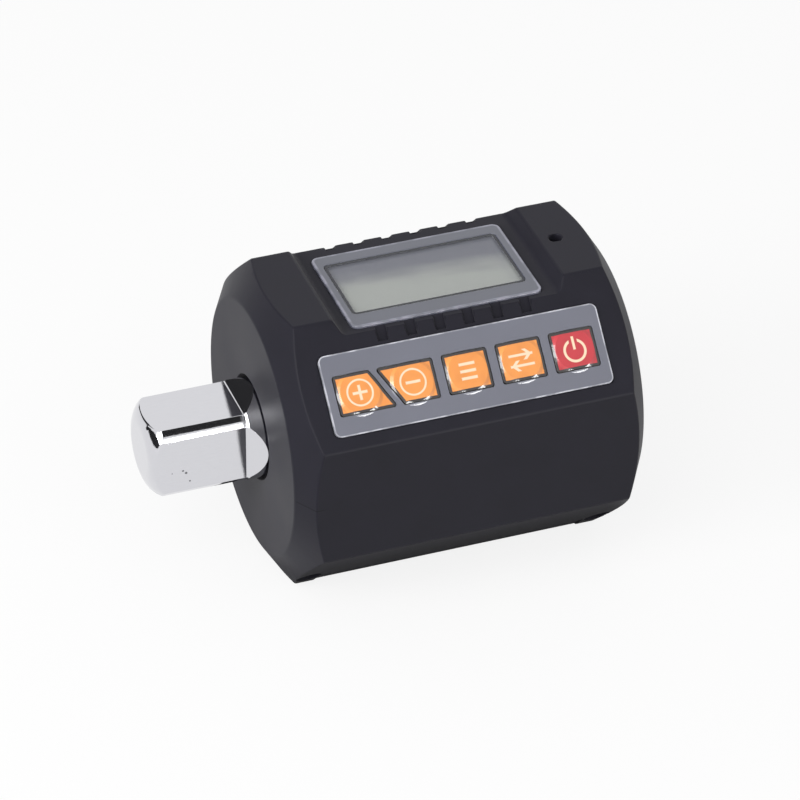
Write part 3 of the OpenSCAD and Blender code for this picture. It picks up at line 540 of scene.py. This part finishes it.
def key_print(name, tone, pad, sign):
    """Bright printing under film, with a dark border and a cream sign."""
    made = Finish(name, specular_ior_level=0.45, coat_weight=1, coat_roughness=0.06)
    along, up = made.keypad_plane()
    cloud = made.noise(0.4, detail=1)
    tint = made.mix(cloud, srgb(*tone), srgb(*[min(255, 1.08 * c + 8) for c in tone]))
    ink = 1 - made.fade(sign(made, along, up), -0.05, 0.07)
    tint = made.mix(ink, tint, srgb(*CREAM))
    border = made.fade(pad(made, along, up), -KEY_LINE - 0.05, -KEY_LINE + 0.05)
    tint = made.mix(border, tint, srgb(20, 12, 12))
    made.set(base_color=tint, roughness=0.32 + cloud * 0.08)
    return made.relief(made.noise(2.5), 0.0015)


FINISHES = {
    "housing_plastic": moulded_plastic("housing_plastic_finish"),
    "chrome_steel": polished_chrome("polished_chrome"),
    "spring_steel": turned_steel("spring_wire", (176, 178, 182), 0.3),
    "plated_screw": turned_steel("zinc_plate", (168, 170, 172), 0.32),
    "white_plastic": plain_plastic("ivory_plastic", (226, 222, 208), 0.45),
    # The label film's last two numbers are the width and colour of its painted edge highlight
    "label_film": printed_film("slate_film", (103, 105, 118), label_outline, 0.26, (214, 215, 224)),
    "clear_window": clear_window("clear_sheet"),
    "lcd_glass": panel_glass("panel_glass"),
    "black_rubber": plain_plastic("zebra_rubber", (36, 36, 38), 0.7),
    "green_board": circuit_laminate("board_laminate"),
    "black_parts": plain_plastic("black_resin", (28, 28, 31), 0.4),
    "amber_film": plain_plastic("amber_film_finish", (206, 132, 46), 0.3),
    "cell_sleeve": cell_sleeve("cell_sleeve_finish"),
    "lead_insulation": plain_plastic("lead_insulation_finish", (170, 28, 30), 0.42),
}


def dress(piece, finish):
    piece.data.materials.clear()
    piece.data.materials.append(finish.material)


def slot_of(node):
    return nodes[node].data.materials[0].name.split(".")[0]


# Softened copies of the nodes whose edges catch the light
MERGE = 0.002 * MM
FLAT = math.radians(0.6)


def softened(node, finish, *cuts, sharp=25, segments=2, crease=38, clamp=True, slices=()):
    """Stands for a CAD node with a copy whose sharp edges are rounded off.

    Each cut is a width and a test that picks its edges, of those that turn by more than sharp
    degrees. Shading stays sharp over crease degrees. Slices are places along X where faces are
    divided, which holds the shading near an edge or keeps a face from running round a hole.
    """
    shape = bmesh.new()
    shape.from_mesh(nodes[node].data)
    bmesh.ops.remove_doubles(shape, verts=shape.verts, dist=MERGE)
    bmesh.ops.dissolve_limit(
        shape, angle_limit=FLAT, verts=shape.verts, edges=shape.edges, use_dissolve_boundaries=False
    )
    for place in slices:
        bmesh.ops.bisect_plane(
            shape,
            geom=shape.verts[:] + shape.edges[:] + shape.faces[:],
            plane_co=(place * MM, 0, 0),
            plane_no=(1, 0, 0),
        )
    for width, pick in cuts:
        edges = [
            edge
            for edge in shape.edges
            if len(edge.link_faces) == 2
            and edge.calc_face_angle() > math.radians(sharp)
            and pick(edge)
        ]
        bmesh.ops.bevel(
            shape,
            geom=edges,
            offset=width,
            offset_type="OFFSET",
            segments=segments,
            profile=0.5,
            affect="EDGES",
            clamp_overlap=clamp,
            material=-1,
        )
    for face in shape.faces:
        face.smooth = True
    for edge in shape.edges:
        edge.smooth = len(edge.link_faces) == 2 and edge.calc_face_angle() < math.radians(crease)
    name = "soft_" + node
    mesh = bpy.data.meshes.new(name)
    shape.to_mesh(mesh)
    shape.free()
    piece = bpy.data.objects.new(name, mesh)
    bpy.context.scene.collection.objects.link(piece)
    piece.modifiers.new("even_normals", "WEIGHTED_NORMAL").keep_sharp = True
    dress(piece, finish)
    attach(piece, nodes[node]["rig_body"])
    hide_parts(node)
    return piece


def every_edge(edge):
    return True


# Places along X on the square drive
TIP_MM = -15.8
RAMP_START_MM = -2.8
FLAT_MM = 6.35


def tip_arc(edge):
    """True where the drive's flats meet its domed tip."""
    flats = [max(abs(vert.co.y), abs(vert.co.z)) / MM for vert in edge.verts]
    return max(vert.co.x / MM for vert in edge.verts) < TIP_MM and max(flats) < FLAT_MM + 0.02


def long_edge(edge):
    """True for the long edges beside the drive's rounded corners."""
    return abs(edge.verts[0].co.x - edge.verts[1].co.x) > 10 * MM


def not_ramp(edge):
    """False for the edges where the drive's flats run out into ramps."""
    return not all(abs(vert.co.x / MM - RAMP_START_MM) < 0.05 for vert in edge.verts)


# What tells the housing's outside from its inside: the least distance of its facets, the
# least radius of its end bevels, and how near a point lies to an end face or the seam
OUTSIDE_MM = 24.9
END_RADIUS_MM = 20.9
NEAR_MM = 0.05
SHORT_MM = 0.4
UNDERSIDE_MM = -15


def on_facet(point):
    """True for a point on one of the octagon's eight sides, in millimetres."""
    y, z = abs(point.y), abs(point.z)
    return max(y, z, (y + z) * SLOPE) > OUTSIDE_MM


def on_end(point):
    return abs(abs(point.x - MID_MM) - MID_MM) < NEAR_MM


def skin_face(face):
    """True for a facet of the octagon, a bevel at its ends or an end face."""
    points = [vert.co / MM for vert in face.verts]
    if all(on_facet(point) for point in points) or all(on_end(point) for point in points):
        return True
    return abs(face.normal.x) > 0.3 and all(math.hypot(p.y, p.z) > END_RADIUS_MM for p in points)


def skin_edge(edge):
    return all(skin_face(face) for face in edge.link_faces)


def outer_edge(edge):
    """True for the housing's longer outside edges above its underside, but the parting line."""
    ends = [vert.co / MM for vert in edge.verts]
    if edge.calc_length() < SHORT_MM * MM or all(abs(end.z) < NEAR_MM for end in ends):
        return False
    if min(end.z for end in ends) < UNDERSIDE_MM:
        return False
    return all(on_facet(end) or on_end(end) for end in ends)


# The film over the keypad is rounded only where it turns sharply, and its low cushions keep
# a drawn rim
FILM_CUT = (0.12 * MM, every_edge)
FILM_EDGES = {"sharp": 40, "segments": 4, "crease": 20}

softened(
    "display_bezel",
    # The plate film's last two numbers are the width and colour of its painted edge highlight
    printed_film("plate_film", (80, 83, 96), plate_outline, 0.6, (146, 146, 162)),
    (0.2 * MM, every_edge),
    segments=3,
)
softened("keypad_overlay", FINISHES["label_film"], FILM_CUT, **FILM_EDGES)
for key, parts in KEYS.items():
    softened(key, key_print(key + "_print", *parts), FILM_CUT, **FILM_EDGES)
softened(
    "torsion_shaft",
    FINISHES["chrome_steel"],
    (0.3 * MM, tip_arc),
    (0.25 * MM, long_edge),
    (0.15 * MM, not_ramp),
    sharp=18,
    segments=3,
    slices=(RAMP_START_MM - 0.25, RAMP_START_MM + 0.25),
)
# The lower shell is sliced through its screw holes, so that no face runs round one
SCREW_FROM_END_MM = 4.7
for shell, places in (
    ("upper_shell", ()),
    ("lower_shell", (SCREW_FROM_END_MM, MID_MM, 2 * MID_MM - SCREW_FROM_END_MM)),
):
    softened(
        shell,
        FINISHES["housing_plastic"],
        (0.24 * MM, skin_edge),
        (0.14 * MM, outer_edge),
        sharp=20,
        segments=3,
        clamp=False,
        slices=places,
    )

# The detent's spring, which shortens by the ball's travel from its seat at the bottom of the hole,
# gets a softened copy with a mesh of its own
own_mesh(softened("detent_spring", FINISHES[slot_of("detent_spring")]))

for node, piece in nodes.items():
    if not piece.hide_render:
        dress(piece, FINISHES[slot_of(node)])


# Studio: a pale floor, a white room, soft lamps, and dark cards that only gloss shows
def paper(name, colour, bounce, share):
    """A stage finish that glows by a share where it is looked at, and throws back less light."""
    made = Finish(name, roughness=1, specular_ior_level=0)
    seen = made.looked_at()
    made.set(base_color=made.mix(seen, bounce, colour))
    glow = made.node("ShaderNodeEmission")
    made.blend(seen * share, Signal(made, made.shader.outputs[0]), glow)
    return made


def stage_plane(name, size, matrix, finish):
    """A flat sheet of the studio, whose place is in its mesh."""
    shape = bmesh.new()
    bmesh.ops.create_grid(shape, x_segments=1, y_segments=1, size=size / 2, matrix=matrix)
    mesh = bpy.data.meshes.new(name)
    shape.to_mesh(mesh)
    shape.free()
    plane = bpy.data.objects.new(name, mesh)
    bpy.context.scene.collection.objects.link(plane)
    dress(plane, finish)
    return plane


PART_MID = Vector((HOUSING_MID, 0, 0))


def facing(direction, distance):
    """A place that far out from the part in a direction, with its Z axis away from the part."""
    out = Vector(direction).normalized()
    turn = out.to_track_quat("Z", "Y").to_matrix().to_4x4()
    return Matrix.Translation(PART_MID + out * distance) @ turn


LAMP_DISTANCE = 0.9
CARD_DISTANCE = 0.7
NEAR_CARD_DISTANCE = 0.33


def soft_lamp(name, direction, wide, high, glow, diffuse=True):
    """A softbox whose face is that many times as bright as white paper."""
    lamp = bpy.data.lights.new(name, "AREA")
    lamp.shape = "RECTANGLE"
    lamp.size = wide
    lamp.size_y = high
    lamp.energy = glow * math.pi * wide * high
    holder = bpy.data.objects.new(name, lamp)
    holder.matrix_world = facing(direction, LAMP_DISTANCE)
    holder.visible_diffuse = diffuse
    bpy.context.scene.collection.objects.link(holder)


def white_room(fill):
    """White where it is looked at, with fill as the strength of the light it gives."""
    world = bpy.data.worlds.new("white_room")
    bpy.context.scene.world = world
    world.use_nodes = True
    room = Patch(world.node_tree, "ShaderNodeOutputWorld")
    shades = [
        room.node("ShaderNodeBackground", {}, {"Color": (1, 1, 1, 1), "Strength": strength})
        for strength in (fill, 1)
    ]
    room.blend(room.looked_at(), *shades)


def dark_card(name, wide, high, matrix):
    """A card that only gloss shows, as a photographer sets by polished metal."""
    card_finish = Finish(name + "_finish", base_color=(0.012, 0.012, 0.014, 1), roughness=0.9)
    card = stage_plane(name, 2, matrix @ Matrix.Diagonal((wide / 2, high / 2, 1, 1)), card_finish)
    card.visible_camera = False
    card.visible_diffuse = False
    card.visible_transmission = False
    card.visible_shadow = False


PAPER = (0.9, 0.9, 0.9, 1)
DIM_PAPER = (0.45, 0.45, 0.45, 1)
FLOOR_SIZE = 6
FLOOR_GLOW = 0.85
ROOM_FILL = 0.5
floor_place = Matrix.Translation((0, 0, HOUSING_LOW))
stage_plane("floor", FLOOR_SIZE, floor_place, paper("floor_paper", PAPER, DIM_PAPER, FLOOR_GLOW))
white_room(ROOM_FILL)
soft_lamp("left_softbox", (-0.88, -0.22, 0.42), 0.42, 0.4, 9)
soft_lamp("upper_left_softbox", (-0.5, -0.52, 0.69), 0.4, 0.6, 3)
soft_lamp("upper_left_strip", (-0.47, -0.5, 0.7), 0.22, 0.6, 7, diffuse=False)
soft_lamp("front_right_softbox", (0.3, -0.72, 0.63), 0.6, 0.2, 2)
soft_lamp("front_strip", (0.3, -0.95, 0.08), 0.9, 0.14, 18, diffuse=False)
dark_card("overhead_card", 0.5, 0.16, facing((0.28, -0.43, 0.86), CARD_DISTANCE))
dark_card("back_left_card", 0.5, 0.5, facing((-0.55, 0.75, 0.42), CARD_DISTANCE))
dark_card("left_card", 0.26, 0.1, facing((-0.976, 0.198, 0.09), NEAR_CARD_DISTANCE))
# The last card lies on the floor under the part as a painted shadow that only gloss shows, where
# the drive and the lower facets would mirror the floor white
under_part = Matrix.Translation((HOUSING_MID, 0.017, HOUSING_LOW + 0.01 * MM))
dark_card("contact_shadow_card", 0.062, 0.086, under_part)


# Camera at the photograph's viewpoint: it looks at the housing's middle from a distance in
# metres, moved aside and up by the two aims
FOCAL_PIXELS = 4754.12
IMAGE_PIXELS = 800
SENSOR = 36
VIEW_AZIMUTH = math.radians(-20.188)
VIEW_ELEVATION = math.radians(35.155)
VIEW_ROLL = math.radians(0.512)
VIEW_DISTANCE = 0.76721
AIM_RIGHT = 0.004028
AIM_UP = 0.0013235

back = Vector(
    (
        math.sin(VIEW_AZIMUTH) * math.cos(VIEW_ELEVATION),
        -math.cos(VIEW_AZIMUTH) * math.cos(VIEW_ELEVATION),
        math.sin(VIEW_ELEVATION),
    )
)
level = Vector((0, 0, 1)).cross(back).normalized()
rise = back.cross(level)
right = math.cos(VIEW_ROLL) * level + math.sin(VIEW_ROLL) * rise
above = math.cos(VIEW_ROLL) * rise - math.sin(VIEW_ROLL) * level
camera = bpy.data.objects.new("camera", bpy.data.cameras.new("camera"))
bpy.context.scene.collection.objects.link(camera)
eye = PART_MID + VIEW_DISTANCE * back - AIM_RIGHT * right - AIM_UP * above
turn = Matrix((right, above, back)).transposed().to_4x4()
camera.matrix_world = Matrix.Translation(eye) @ turn
camera.data.sensor_width = SENSOR
camera.data.lens = FOCAL_PIXELS / IMAGE_PIXELS * SENSOR
camera.data.clip_start = 0.05
camera.data.clip_end = 20
bpy.context.scene.camera = camera
bpy.context.scene.view_settings.view_transform = "Standard"
